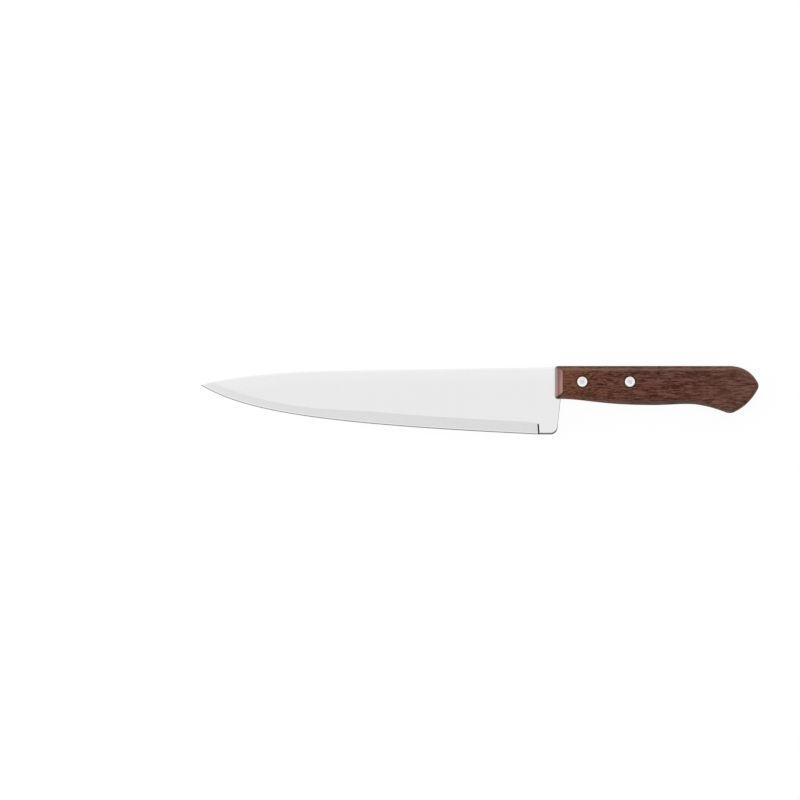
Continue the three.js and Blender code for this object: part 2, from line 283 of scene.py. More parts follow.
lower_run = np.gradient(lower_line, axis=0)
slope_cosine = (lower_run[:, 0] / np.linalg.norm(lower_run, axis=1))[:, None]


def from_heel_edge(x, y):
    """Distance in from the heel's edge: from the corner's arc inside its sector, and outside that from the
    straight bottom or back edge, whichever is nearer."""
    over_bottom = y - heel_y
    before_back = (heel_back[0] - x + (y - heel_back[1]) * lean_run) * math.cos(heel_lean)
    past_x = x - corner_x
    past_y = y - corner_y
    in_sector = (past_x > 0) & (past_y + past_x * lean_run < 0)
    from_arc = heel_radius - np.hypot(past_x, past_y)
    return np.where(in_sector, from_arc, np.minimum(over_bottom, before_back))


# Rows of points across the blade: the honed edge, the ground bevel, the flat and the softened spine.
ahead = front_x - station_x
narrowing = smooth(ahead, grind_narrows_from, grind_narrows_to)
ground_width = grind_width + (grind_tip_width - grind_width) * narrowing
near_step = smooth(station_x, grind_end[0] - grind_step_narrowing, grind_end[0])
ground_width = ground_width + (grind_step_width - grind_width) * near_step
honed_rows = honed_width * np.array([0, 0.06, 0.2, 0.4, 0.6, 0.8, 0.93, 1, 1.1])
bevel_share = np.linspace(0, 1, 10)[1:-1]
bevel_rows = honed_rows[-1] + (ground_width - honed_rows[-1]) * bevel_share
line_rows = ground_width + np.array([-0.1, 0, 0.1, 0.4]) * MM
inward = np.hstack([np.broadcast_to(honed_rows, (len(station_x), len(honed_rows))), bevel_rows, line_rows])
widest_share = np.linspace(0, 0.75, inward.shape[1])
edge_rise = np.minimum(inward / slope_cosine, widest_share * blade_depth)
left_over = blade_depth - edge_rise[:, -1:]
spine_rows = spine_softening * np.array([2.4, 1.2, 1, 0.75, 0.5, 0.25, 0.08, 0])
spine_share = np.linspace(0.4, 0, len(spine_rows))
spine_rise = blade_depth - np.minimum(spine_rows, spine_share * left_over)
flat_share = np.linspace(0, 1, 14)[1:-1]
flat_rise = edge_rise[:, -1:] + (spine_rise[:, :1] - edge_rise[:, -1:]) * flat_share
rise = np.hstack([edge_rise, flat_rise, spine_rise])

# Half the thickness at each point: as if ground all along, then as stamped, and the step between them.
from_edge = np.where(station_x < corner_x, rise * slope_cosine, from_heel_edge(station_x, lower_y + rise))
thinning = smooth(ahead, thins_from, thins_to)
face_half = blade_half + (tip_half - blade_half) * thinning
shoulder_half = honed_half + (honed_tip_half - honed_half) * thinning
bevel_way = np.clip((from_edge - honed_width) / (ground_width - honed_width), 0, 1)
honed_way = np.clip(from_edge / honed_width, 0, 1)
ground_half = edge_half + (shoulder_half - edge_half) * honed_way + (face_half - shoulder_half) * bevel_way
in_handle = smooth(station_x, heel_back[0], tang_start)
heel_half = blade_half - roll(from_edge, stamped_roll) * (1 - in_handle)
step_x = grind_end[0] + 0.8 * grind_step_run - grind_step_slant * (rise - grind_step_width / 2)
unground = smooth(station_x, step_x - grind_step_run, step_x)
half = ground_half + (heel_half - ground_half) * unground
half = half * (1 - roll(blade_depth - rise, spine_softening) / blade_half * (1 - in_handle))

blade_y = lower_y + rise
blade_x = np.broadcast_to(station_x, rise.shape)
upper_side = np.stack([blade_x, blade_y, middle_z + half], axis=2)
lower_side = np.stack([blade_x, blade_y, middle_z - half], axis=2)
blade_skin = np.concatenate([upper_side, lower_side[:, ::-1]], axis=1)

# Marks for the finish. Painted shade darkens the step's wall and the heel's stamped edges, for their shadow
# and the dark surroundings they reflect, most of it along the bottom, which faces away from the light. The
# wheel's lines keep to the ground bevel and follow the run of the cutting edge.
on_wall = smooth(unground, 0.01, 0.06) * (1 - smooth(unground, 0.94, 0.99))
wall_depth = smooth(face_half - ground_half, 0.003 * MM, 0.06 * MM)
on_bottom = smooth(slope_cosine, 0.1, 0.95)
edge_shade_width = stamped_roll * (0.5 + 0.62 * on_bottom)
edge_shade_strength = 0.25 + 0.65 * on_bottom
stamped_edge = (1 - smooth(from_edge, 0.85 * edge_shade_width, 1.15 * edge_shade_width)) * unground
painted_edge_shade = np.maximum(stamped_edge * edge_shade_strength, on_wall * wall_depth)
ground = (1 - smooth(from_edge, ground_width - 0.1 * MM, ground_width)) * (1 - unground)
run_along = np.concatenate([[0], np.cumsum(np.linalg.norm(np.diff(lower_line, axis=0), axis=1))])[:, None]
along_edge = np.broadcast_to(run_along, rise.shape)


def both_sides(mark):
    """A mark of the upper side's points, for the upper side and then the lower side."""
    return np.concatenate([mark, mark[:, ::-1]], axis=1)


# The tang, a flat sheet between the heel and its two round corners.
tang_end = blade_high.x
tang_round = tang_end - tang_radius
tang_outline = np.vstack([
    [(tang_start, spine_start[1])],
    arc((tang_round, spine_start[1] - tang_radius), tang_radius, math.pi / 2, 0, count=12),
    arc((tang_round, tang_bottom + tang_radius), tang_radius, 0, -math.pi / 2, count=12),
    [(tang_start, tang_bottom)],
])
heel_column = upper_side[-1, 1:-1, :2]
tang_loop = np.vstack([tang_outline, heel_column])


def rivet_middle(name):
    """Where a rivet's axis crosses the knife's plane."""
    low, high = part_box(name)
    return np.array([(low.x + high.x) / 2, (low.y + high.y) / 2])


rivet_middles = [rivet_middle("front_rivet_tube"), rivet_middle("rear_rivet_tube")]
shank_holes = [(middle, shank_hole_radius) for middle in rivet_middles]
blade_faces = [middle_z - blade_half, middle_z + blade_half]
blade_blocks = [grid(blade_skin, wrap=True)]
blade_blocks += [flat_sheet(tang_loop, shank_holes, height) for height in blade_faces]
blade_blocks.append(grid(np.stack([at_height(tang_outline, height) for height in blade_faces])))
blade_blocks += [shaft(middle, [radius, radius], blade_faces) for middle, radius in shank_holes]
blade_marks = {
    "ground": both_sides(ground),
    "painted_edge_shade": both_sides(painted_edge_shade),
    "along_edge": both_sides(along_edge),
    "from_edge": both_sides(from_edge),
    "from_spine": both_sides(blade_depth - rise),
}
steel_blade = make_piece("steel_blade", blade_blocks, blade_marks)


def feed(socket, value):
    """Gives a shader socket a link, where the value is a wire, or else a plain value."""
    if isinstance(value, Wire):
        socket.id_data.links.new(value.socket, socket)
    else:
        socket.default_value = value


class Wire:
    """An output socket of a shader. Arithmetic on it adds Math nodes, and node adds any other node."""

    def __init__(self, socket):
        self.socket = socket

    def node(self, kind, sockets, output=0, **settings):
        """Adds a node with its settings, then gives each named socket its value or link."""
        added = self.socket.id_data.nodes.new(kind)
        for name, value in settings.items():
            setattr(added, name, value)
        for name, value in sockets.items():
            feed(added.inputs[name], value)
        return Wire(added.outputs[output])

    def other(self, output):
        """Another output of the same node."""
        return Wire(self.socket.node.outputs[output])

    def math(self, operation, first, second):
        """Adds a Math node on two values or links."""
        return self.node("ShaderNodeMath", {0: first, 1: second}, operation=operation)

    def __add__(self, other):
        return self.math("ADD", self, other)

    def __radd__(self, other):
        return self.math("ADD", other, self)

    def __sub__(self, other):
        return self.math("SUBTRACT", self, other)

    def __rsub__(self, other):
        return self.math("SUBTRACT", other, self)

    def __mul__(self, other):
        return self.math("MULTIPLY", self, other)

    def __rmul__(self, other):
        return self.math("MULTIPLY", other, self)

    def place(self):
        """Where a point of the piece lies in the knife's frame."""
        return self.node("ShaderNodeTexCoord", {}, output="Object")

    def mark(self, name):
        """A mark that the piece's points carry."""
        return self.node("ShaderNodeAttribute", {}, output="Fac", attribute_name=name)

    def smooth(self, low, high):
        """0 up to low, 1 from high on, and an S-shaped rise between."""
        sockets = {"Value": self, "From Min": low, "From Max": high}
        return self.node("ShaderNodeMapRange", sockets, interpolation_type="SMOOTHSTEP")

    def noise(self, repeats, detail=2.0, roughness=0.5):
        """Cloudy values about 0.5 over this place, with so many repeats a metre along x, y and z."""
        scaled = self.node("ShaderNodeMapping", {"Vector": self, "Scale": repeats})
        sockets = {"Vector": scaled, "Scale": 1.0, "Detail": detail, "Roughness": roughness}
        return self.node("ShaderNodeTexNoise", sockets)

    def tint(self, first, second):
        """A colour that goes from the first to the second as this value goes from 0 to 1."""
        return self.node("ShaderNodeMix", {0: self, 6: first, 7: second}, output=2, data_type="RGBA")


def new_finish(name, constants):
    """A material whose shader has the given sockets set. Gives the material, its shader and a first wire."""
    material = bpy.data.materials.new(name)
    material.use_nodes = True
    shader = material.node_tree.nodes["Principled BSDF"]
    for socket, value in constants.items():
        shader.inputs[socket].default_value = value
    return material, shader, Wire(shader.outputs[0])


def grey(level):
    """A neutral colour."""
    return (level, level, level, 1)


# Satin steel: fine polishing lines across the blade, the wheel's lines on the bevel and a paler stretch
# along the
# spine, with painted light and shade: a glint above the honed edge, a highlight on the spine's rounded
# edges, a darker ground bevel, and a dark line along the honed edge.
dull_steel = grey(0.64)
bright_steel = grey(0.885)
# the colour of the painted shade along the honed edge
cutting_edge_shade_grey = grey(0.16)
# the colour of the painted shade on the step's wall and the heel's edges
edge_shade_grey = grey(0.02)
blade_steel, steel_shader, steel = new_finish("blade_steel", {"Metallic": 1.0})
steel_place = steel.place()
ground_mark = steel.mark("ground")
edge_shade_mark = steel.mark("painted_edge_shade")
along_mark = steel.mark("along_edge")
edge_mark = steel.mark("from_edge")
spine_mark = steel.mark("from_spine")
grind_place = steel.node("ShaderNodeCombineXYZ", {"X": along_mark, "Y": edge_mark})
polish_lines = steel_place.noise((900, 14, 900), detail=3.0, roughness=0.6)
polish_clouds = steel_place.noise((25, 40, 40))
grind_lines = grind_place.noise((1500, 45, 1), detail=3.0, roughness=0.65)
# A painted glint: a brighter band on the bevel just above the honed edge.
painted_edge_glint = edge_mark.smooth(0.45 * MM, 0.65 * MM) - edge_mark.smooth(0.9 * MM, 1.3 * MM)
# A painted highlight on the spine's rounded edges, then a paler stretch of the flat along the spine.
painted_spine_highlight = 1 - spine_mark.smooth(0.2 * MM, 1.5 * MM)
near_spine = 1 - spine_mark.smooth(3 * MM, 9 * MM)
polish_tone = (polish_lines - 0.5) * 0.05 + (polish_clouds - 0.5) * 0.06
spine_tone = painted_spine_highlight * 0.2 + near_spine * 0.09
# The bevel's tone: its grind lines, the painted glint, and an offset that darkens the whole bevel, partly
# for its ground finish and partly as painted shade.
grind_tone_and_light = (grind_lines - 0.5) * 0.1 + painted_edge_glint * 0.4 - 0.12
tone = polish_tone + spine_tone + ground_mark * grind_tone_and_light + 0.52
# Painted shade: a dark grey line along the honed edge.
painted_cutting_edge_shade = ground_mark * (1 - edge_mark.smooth(0.35 * MM, 0.5 * MM))
steel_colour = (painted_cutting_edge_shade * 0.67).tint(tone.tint(dull_steel, bright_steel), cutting_edge_shade_grey)
# Painted shade darkens the steel on the step's wall and the heel's edges.
feed(steel_shader.inputs["Base Color"], edge_shade_mark.tint(steel_colour, edge_shade_grey))
steel_roughness = 0.24 + (polish_lines - 0.5) * 0.12 + ground_mark * (grind_lines - 0.4) * 0.15
feed(steel_shader.inputs["Roughness"], steel_roughness + edge_shade_mark * 0.4)
scratches = (polish_lines - 0.5) * 0.3 + ground_mark * grind_lines
steel_bump = {"Height": scratches, "Strength": 0.06, "Distance": 0.02 * MM}
feed(steel_shader.inputs["Normal"], steel.node("ShaderNodeBump", steel_bump))

steel_blade.data.materials.append(blade_steel)
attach(steel_blade, "root")
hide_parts("blade")

# Handle
# One piece of brown hardwood, shaped and sanded, with rounded long edges and bevels at its front. A saw kerf
# from the front takes the blade's tang, and two stepped holes through wood and tang take the rivets.
handle_length = 117.1 * MM  # to the butt's corner, before that is rounded
belly_height = 22.4 * MM
front_pull = 18.4 * MM
belly_pull = 31.9 * MM
belly_to_waist = 20 * MM
waist_height = 21.8 * MM
waist_pull = 9 * MM
waist_to_beak = 24 * MM
beak_height = 27.5 * MM
beak_from_butt = 16.6 * MM
beak_curve_length = 15.1 * MM
beak_softening = 2.7 * MM
butt_drop = 11.3 * MM
butt_softening = 2.3 * MM
slope_corner_from_butt = 5.6 * MM
slope_corner_height = 22 * MM
back_curve_length = 17.4 * MM
back_corner_from_butt = 6.3 * MM

back_rounding = 3.2 * MM  # the long edge along the back
belly_rounding = 3.9 * MM  # the long edge along the belly
butt_edge_rounding = 1.9 * MM  # round the butt
edge_flatness = 0.66  # from 0, a quarter circle, to 1, a flat bevel
side_margin = 0.3 * MM  # a flat strip along the long edges
chamfer_length = 4.3 * MM
chamfer_depth = 3.4 * MM
chamfer_top_softening = 0.6 * MM  # radius between the bevel and the side
chamfer_foot_softening = 3.6 * MM  # radius between the bevel and the front face
corner_rounding = 1.6 * MM
mitre_rounding = 0.2 * MM
front_stretch = 10 * MM  # the stretch of the long edges that makes room for the front bevels
tang_clearance = 0.1 * MM
kerf_half = blade_half + tang_clearance
kerf_end_room = 1 * MM
kerf_end = tang_end + kerf_end_room
head_hole_radius = 3.15 * MM
head_hole_break = 0.25 * MM
head_seat_depth = 1.7 * MM


def in_knife(x, y):
    """A point of the handle's outline, counted from its front face and from its back."""
    return np.array([front_x + x, back_y + y])


def towards(corner, target, distance):
    """A point at a distance from a corner, on the way to another point."""
    way = target - corner
    return corner + way * (distance / np.linalg.norm(way))


front_bottom = in_knife(0, -handle_front_height)
beak = in_knife(handle_length - beak_from_butt, -beak_height)
butt = in_knife(handle_length, -butt_drop)
waist = np.array([beak[0] - waist_to_beak, back_y - waist_height])
belly = np.array([waist[0] - belly_to_waist, back_y - belly_height])
beak_corner = np.array([beak[0] - beak_curve_length, waist[1]])
slope_corner = in_knife(handle_length - slope_corner_from_butt, -slope_corner_height)
back_corner = in_knife(handle_length - back_corner_from_butt, 0)
back_end = in_knife(handle_length - back_curve_length, 0)
beak_start = towards(beak, beak_corner, beak_softening)
beak_end = towards(beak, slope_corner, beak_softening)
butt_start = towards(butt, slope_corner, butt_softening)
butt_end = towards(butt, back_corner, butt_softening)
butt_line = np.vstack([
    bezier([back_end, back_corner, butt_end], count=40)[1:],
    bezier([butt_end, butt, butt_start], count=16)[1:],
    bezier([butt_start, slope_corner, beak_end], count=40)[1:],
    bezier([beak_end, beak, beak_start], count=16)[1:],
    bezier([beak_start, beak_corner, waist], count=40)[1:],
])
belly_line = np.vstack([
    bezier([front_bottom, front_bottom + (front_pull, 0), belly - (belly_pull, 0), belly], count=200),
    bezier([belly, belly + (waist_pull, 0), waist - (waist_pull, 0), waist], count=100)[1:],
])

# Rows of points from the flat side, round the long edge and down the wall to the kerf.
quarter_turn = math.pi / 2
edge_turns = np.linspace(0, quarter_turn, 14)
wall_shares = np.concatenate([np.linspace(0, 0.75, 13)[1:], [0.8, 0.9, 1]])
turn = np.concatenate([[0], edge_turns, np.full(len(wall_shares), quarter_turn)])[:, None]
turn_share = turn / quarter_turn
wall = np.concatenate([np.zeros(1 + len(edge_turns)), wall_shares])[:, None]
margin = np.zeros_like(turn)
margin[0] = side_margin
kerf_depth = (handle_high.z - handle_low.z) / 2 - kerf_half
chamfer_angle = math.atan2(chamfer_depth, chamfer_length)


def depth_at(rounding):
    """Depth of each row under the flat side: round the long edge, between a quarter circle and a straight
    bevel, then down the wall."""
    edge = (1 - edge_flatness) * (1 - np.cos(turn)) + edge_flatness * turn_share
    return rounding * edge + (kerf_depth - rounding) * wall


def inset_at(rounding):
    """How far each row lies inside the outline: as far as the same edge does, and the flat strip beyond
    it."""
    edge = (1 - edge_flatness) * (1 - np.sin(turn)) + edge_flatness * (1 - turn_share)
    return rounding * edge + margin


def chamfer_at(depth):
    """How far behind the front face the wood starts at a depth: a straight bevel, with a circle tangent to
    the bevel and the side at its top, and one tangent to the bevel and the front face at its foot."""
    top_reach = chamfer_top_softening * math.tan(chamfer_angle / 2)
    foot_reach = chamfer_foot_softening * math.tan((quarter_turn - chamfer_angle) / 2)
    top_rise = np.clip(chamfer_top_softening - depth, 0, chamfer_top_softening)
    top_curve = np.sqrt(chamfer_top_softening**2 - top_rise**2)
    foot_rise = np.clip(chamfer_depth + foot_reach - depth, 0, chamfer_foot_softening)
    foot_curve = np.sqrt(chamfer_foot_softening**2 - foot_rise**2)
    straight = chamfer_length * (1 - depth / chamfer_depth)
    on_top = depth < top_reach * math.sin(chamfer_angle)
    on_foot = depth > chamfer_depth - foot_reach * math.sin(chamfer_angle)
    bevel = np.where(on_top, chamfer_length + top_reach - top_curve, straight)
    return np.where(on_foot, chamfer_foot_softening - foot_curve, bevel)


def spread(x, y, depth):
    """Points of every row from arrays of x, y and depth that share a shape once they are stretched."""
    return np.stack(np.broadcast_arrays(x, y, depth), axis=2)


def belly_points(x):
    """Points of every row along the belly: the outline there, moved square to its slope by the inset."""
    slope_reach = 0.5 * MM
    outline_y = np.interp(x, *belly_line.T)
    ahead_y = np.interp(x + slope_reach, *belly_line.T)
    behind_y = np.interp(x - slope_reach, *belly_line.T)
    slope = (ahead_y - behind_y) / (2 * slope_reach)
    return spread(x, outline_y + belly_inset * np.sqrt(1 + slope**2), belly_sunk)


back_sunk = depth_at(back_rounding)
back_inset = inset_at(back_rounding)
belly_sunk = depth_at(belly_rounding)
belly_inset = inset_at(belly_rounding)
rounding_share = smooth(back_sunk, 0, chamfer_depth)
corner = mitre_rounding + (corner_rounding - mitre_rounding) * rounding_share
back_front = front_x + chamfer_at(back_sunk) + margin
belly_front = front_x + chamfer_at(belly_sunk) + margin
stretch_end = front_x + front_stretch
stretch_share = np.linspace(0, 1, 24)
back_stretch = back_front + corner + (stretch_end - back_front - corner) * stretch_share
belly_stretch = belly_front + corner + (stretch_end - belly_front - corner) * stretch_share[::-1]

butt_way = np.linspace(0, 1, len(butt_line))
butt_rounding = back_rounding + (butt_edge_rounding - back_rounding) * smooth(butt_way, 0, 0.3)
butt_rounding = butt_rounding + (belly_rounding - butt_edge_rounding) * smooth(butt_way, 0.66, 1)
past_waist = waist - (1 * MM, 0)
butt_path = np.gradient(np.vstack([back_end, butt_line, past_waist]), axis=0)[1:-1]
butt_path = butt_path / np.linalg.norm(butt_path, axis=1)[:, None]
butt_inset = inset_at(butt_rounding)
butt_x = butt_line[:, 0] + butt_inset * butt_path[:, 1]
butt_y = butt_line[:, 1] - butt_inset * butt_path[:, 0]

# The front bevels run between two rounded corners, one at the belly and one at the back.
sweep = np.linspace(0, quarter_turn, 7)
belly_round_middle = belly_points(belly_front + corner)[:, :, 1] + corner
belly_round_x = belly_front + corner * (1 - np.sin(sweep))
belly_round_y = belly_round_middle - corner * np.cos(sweep)
back_round_middle = back_y - back_inset - corner
back_round_x = back_front + corner * (1 - np.cos(sweep))
back_round_y = back_round_middle + corner * np.sin(sweep)
front_share = np.linspace(0, 1, 14)[1:-1]
front_depth = belly_sunk + (back_sunk - belly_sunk) * front_share
front_bevel_x = front_x + chamfer_at(front_depth) + margin
front_bevel_y = belly_round_middle + (back_round_middle - belly_round_middle) * front_share

# One ring of columns round the handle: along the back, round the butt, along the belly and across the front.
sections = {
    "back at front": spread(back_stretch, back_y - back_inset, back_sunk),
    "back over kerf": spread(np.linspace(stretch_end, kerf_end, 60)[1:], back_y - back_inset, back_sunk),
    "back behind kerf": spread(np.linspace(kerf_end, back_end[0], 40)[1:], back_y - back_inset, back_sunk),
    "butt": spread(butt_x, butt_y, depth_at(butt_rounding)),
    "belly behind kerf": belly_points(np.linspace(waist[0], kerf_end, 20)[1:]),
    "belly under kerf": belly_points(np.linspace(kerf_end, stretch_end, 60)[1:]),
    "belly at front": belly_points(belly_stretch)[:, 1:],
    "belly corner": spread(belly_round_x, belly_round_y, belly_sunk)[:, 1:],
    "front bevels": spread(front_bevel_x, front_bevel_y, front_depth),
    "back corner": spread(back_round_x, back_round_y, back_sunk)[:, :-1],
}
handle_ring = np.concatenate(list(sections.values()), axis=1)
section_end = dict(zip(sections, np.cumsum([section.shape[1] for section in sections.values()])))

# Marks for the finish. The front is cut across the grain. Painted sheen lightens the rounded long edges,
# less so near the front.
# Painted shade darkens the edges round the front bevels, most of all their corner at the belly.
ring_x = handle_ring[:, :, 0]
ring_y = handle_ring[:, :, 1]
cut_start = section_end["belly at front"]
bevels_start = section_end["belly corner"]
bevels_end = section_end["front bevels"]
front_cut = np.zeros(ring_x.shape)
front_cut[2:, cut_start:] = 1

near_back = smooth(ring_y, back_y - 14 * MM, back_y - 4 * MM)
near_butt = smooth(ring_x, back_end[0] - 8 * MM, back_end[0] + 6 * MM)
along_back = near_back * (1 - near_butt)
# Painted sheen on the long edges' rounding: lighter where it would catch the light, less near the front.
inner_edge = smooth(turn, 0.1, 0.45) * (1 - smooth(turn, 0.6, 1.2))
outer_edge = smooth(turn, 0.4, 1.0) * (1 - smooth(wall, 0, 0.3))
sheen_from_front = 0.4 + 0.6 * smooth(ring_x, front_x + 8 * MM, front_x + 40 * MM)
edge_sheen = (0.15 * inner_edge + 0.6 * outer_edge) * sheen_from_front
painted_edge_sheen = (inner_edge * along_back + edge_sheen * (1 - along_back)) * (1 - front_cut)

# Painted shade round the front bevels, at the front ends of the long edges and in the corner at the top of
# the front.
faint_corner_shade = 0.5
deep_corner_shade = 0.75
upper_wall = 1 - smooth(wall, 0, 0.6)
painted_corner_shade = np.zeros(ring_x.shape)
painted_corner_shade[1:, cut_start - 2 : bevels_start - 2] = 1
painted_corner_shade[1:, bevels_end + 3 :] = faint_corner_shade * upper_wall[1:]
painted_corner_shade[1:, :2] = faint_corner_shade * upper_wall[1:]
painted_corner_shade[1, bevels_start - 2 : bevels_end + 3] = faint_corner_shade
from_corner = np.linalg.norm(handle_ring[:, :, :2] - in_knife(1.7 * MM, 0), axis=2)
dark_corner = (1 - smooth(from_corner, 0.7 * MM, 2.4 * MM)) * smooth(turn, 0.3, 1.0) * upper_wall
painted_corner_shade = np.maximum(painted_corner_shade, deep_corner_shade * dark_corner)
side_marks = {"front_cut": front_cut, "painted_edge_sheen": painted_edge_sheen, "painted_corner_shade": painted_corner_shade}
handle_marks = {name: np.stack([mark, mark]) for name, mark in side_marks.items()}

# The ring is used for both sides. Behind the kerf a band joins the two, and the kerf ends in a wall.
upper_ring = handle_ring * (1, 1, -1) + (0, 0, handle_high.z)
lower_ring = handle_ring + (0, 0, handle_low.z)
kerf_on_back = section_end["back over kerf"] - 1
kerf_on_belly = section_end["belly behind kerf"] - 1
behind_kerf = slice(kerf_on_back, kerf_on_belly + 1)
kerf_band = np.stack([upper_ring[-1, behind_kerf], lower_ring[-1, behind_kerf]])
kerf_loop = np.vstack([handle_ring[-1, kerf_on_belly:, :2], handle_ring[-1, : kerf_on_back + 1, :2]])
kerf_end_wall = kerf_band[:, [0, -1]]
handle_blocks = [
    grid(upper_ring, wrap=True),
    grid(lower_ring, wrap=True),
    grid(kerf_band),
    grid(kerf_end_wall),
]
mouth_radius = head_hole_radius + head_hole_break
mouths = [(middle, mouth_radius) for middle in rivet_middles]
hole_radii = [mouth_radius, head_hole_radius, head_hole_radius, shank_hole_radius, shank_hole_radius]
hole_depths = np.array([0, head_hole_break, head_seat_depth, head_seat_depth, kerf_depth])
for face, inwards in [(handle_high.z, -1), (handle_low.z, 1)]:
    handle_blocks.append(flat_sheet(handle_ring[0, :, :2], mouths, face))
    handle_blocks.append(flat_sheet(kerf_loop, shank_holes, face + inwards * kerf_depth))
    handle_blocks += [shaft(middle, hole_radii, face + inwards * hole_depths) for middle in rivet_middles]
wooden_handle = make_piece("wooden_handle", handle_blocks, handle_marks)

# Grain on a slow sway: short streaks at the front and longer ones behind, fine fibres, dark pores and pale
# flecks. The shade goes from orange brown at the front to grey brown at the butt.
front_brown = (0.205, 0.085, 0.048, 1)
fleck_brown = (0.20, 0.115, 0.090, 1)
pore_brown = (0.022, 0.006, 0.003, 1)
# the colour of the painted sheen on the long edges
sheen_brown = (0.36, 0.275, 0.24, 1)
# the colour of the painted shade round the rivets
rivet_shade_brown = (0.020, 0.007, 0.004, 1)
# the colour of the painted shade round the front bevels
corner_shade_brown = (0.022, 0.011, 0.007, 1)
grain_sway = 1.5 * MM
rivet_shade_reach = 1.0 * MM
handle_wood, wood_shader, wood = new_finish("handle_wood", {"Specular IOR Level": 0.1})
wood_place = wood.place()
drift = wood_place.noise((32, 75, 75), detail=1.0).other("Color")
drift = wood.node("ShaderNodeVectorMath", {0: drift, 1: (0.5, 0.5, 0.5)}, operation="SUBTRACT")
sway = {0: drift, 1: (0, grain_sway, grain_sway), 2: wood_place}
grain_place = wood.node("ShaderNodeVectorMath", sway, operation="MULTIPLY_ADD")
along = wood.node("ShaderNodeSeparateXYZ", {"Vector": wood_place}, output="X")
from_front = along - front_x
near_front = 1 - from_front.smooth(6 * MM, 20 * MM)
towards_middle = from_front.smooth(8 * MM, 50 * MM)
towards_butt = from_front.smooth(60 * MM, handle_high.x - front_x)
short_fibres = grain_place.noise((520, 1800, 1800)).smooth(0.40, 0.60)
long_fibres = grain_place.noise((140, 1100, 1100), detail=4.0, roughness=0.7).smooth(0.38, 0.62)
long_share = 0.3 + 0.42 * towards_middle
streaks = (short_fibres + (long_fibres - short_fibres) * long_share).smooth(0.1, 0.9)
fine_fibres = grain_place.noise((130, 6500, 6500), roughness=0.6).smooth(0.3, 0.7)
fibres = streaks * 0.8 + fine_fibres * 0.28 - 0.04
figure = grain_place.noise((18, 130, 130)).smooth(0.35, 0.65)
pores = grain_place.noise((210, 2300, 2300), roughness=0.6).smooth(0.54, 0.66)
flecks = grain_place.noise((260, 1900, 1900), detail=1.0).smooth(0.56, 0.72)
orange_brown = fibres.tint((0.046, 0.005, 0.001, 1), (0.181, 0.077, 0.039, 1))
dark_brown = fibres.tint((0.032, 0.002, 0.001, 1), (0.154, 0.064, 0.041, 1))
grey_brown = fibres.tint((0.066, 0.020, 0.008, 1), (0.165, 0.080, 0.062, 1))
red_brown = fibres.tint((0.028, 0.001, 0.001, 1), (0.156, 0.058, 0.039, 1))

# Painted shade darkens a ring of wood round each rivet, for the shadow in the gap round its head.
flat_place = wood.node("ShaderNodeVectorMath", {0: wood_place, 1: (1, 1, 0)}, operation="MULTIPLY")
rivet_spans = [
    wood.node("ShaderNodeVectorMath", {0: flat_place, 1: (*middle, 0)}, output="Value", operation="DISTANCE")
    for middle in rivet_middles
]
from_rivet = wood.math("MINIMUM", *rivet_spans)
painted_rivet_shade = 1 - from_rivet.smooth(head_hole_radius, head_hole_radius + rivet_shade_reach)

# The end grain on the front is paler: reddish on the bevels and greyer on the front face. Painted light adds
# to
# it: painted sheen lightens the bevels towards the side and away from the back, the front face's grey is
# partly a painted reflection, and a darker line across the bevels is painted shade in the crease between two
# cuts.
end_grain = wood_place.noise((1500, 1500, 1500), detail=3.0, roughness=0.6)
painted_crease_shade = from_front.smooth(1.2 * MM, 1.9 * MM) - from_front.smooth(1.9 * MM, 2.7 * MM)
up_bevel = from_front.smooth(2 * MM, chamfer_length)
under_back = (back_y - along.other("Y")).smooth(0.5 * MM, 12 * MM)
bevel_tone_and_light = end_grain * 0.5 + up_bevel * 0.45 + under_back * 0.35 - painted_crease_shade * 0.4 - 0.25
bevel_grain_and_sheen = bevel_tone_and_light.tint((0.196, 0.096, 0.088, 1), (0.395, 0.226, 0.202, 1))
face_grain_and_reflection = end_grain.tint((0.222, 0.153, 0.142, 1), (0.372, 0.283, 0.268, 1))
end_grain_and_sheen = from_front.smooth(0.9 * MM, 1.7 * MM).tint(face_grain_and_reflection, bevel_grain_and_sheen)

wood_colour = towards_butt.tint(towards_middle.tint(orange_brown, dark_brown), grey_brown)
wood_layers = [
    (near_front, 0.3, front_brown),
    (figure, 0.7, red_brown),
    (flecks, 0.4, fleck_brown),
    (pores, 0.7, pore_brown),
    # painted sheen on the long edges
    (wood.mark("painted_edge_sheen"), 0.2, sheen_brown),
    # painted shade round the rivets
    (painted_rivet_shade, 0.65, rivet_shade_brown),
    # the end grain's colour with its painted sheen, reflection and shade
    (wood.mark("front_cut"), 0.95, end_grain_and_sheen),
    # painted shade round the front bevels
    (wood.mark("painted_corner_shade"), 0.8, corner_shade_brown),
]
for cover, strength, colour in wood_layers:
    wood_colour = (cover * strength).tint(wood_colour, colour)
feed(wood_shader.inputs["Base Color"], wood_colour)
feed(wood_shader.inputs["Roughness"], 0.46 + pores * 0.25 - fibres * 0.08)
wood_bump = {"Height": fibres * 0.4 - pores, "Strength": 0.25, "Distance": 0.05 * MM}
feed(wood_shader.inputs["Normal"], wood.node("ShaderNodeBump", wood_bump))

wooden_handle.data.materials.append(handle_wood)
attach(wooden_handle, "root")
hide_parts("handle")

# Rivets
# Two aluminium cutler's rivets. Each is a tube half and a pin half, pressed into each other from the two
# sides of the handle, and their heads are sanded flush with the wood.
head_height = 1.6 * MM
head_bevel = 0.25 * MM
head_dish_radius = 2 * MM  # the hammered middle of the head
head_dish_depth = 0.06 * MM
head_dish_edge = 0.6  # share of that depth at the dish's edge
head_dish_wall = 0.12 * MM
tube_radius = 2.1 * MM
bore_radius = 1.4 * MM
pin_radius = 1.3 * MM
pin_point = 0.5 * MM

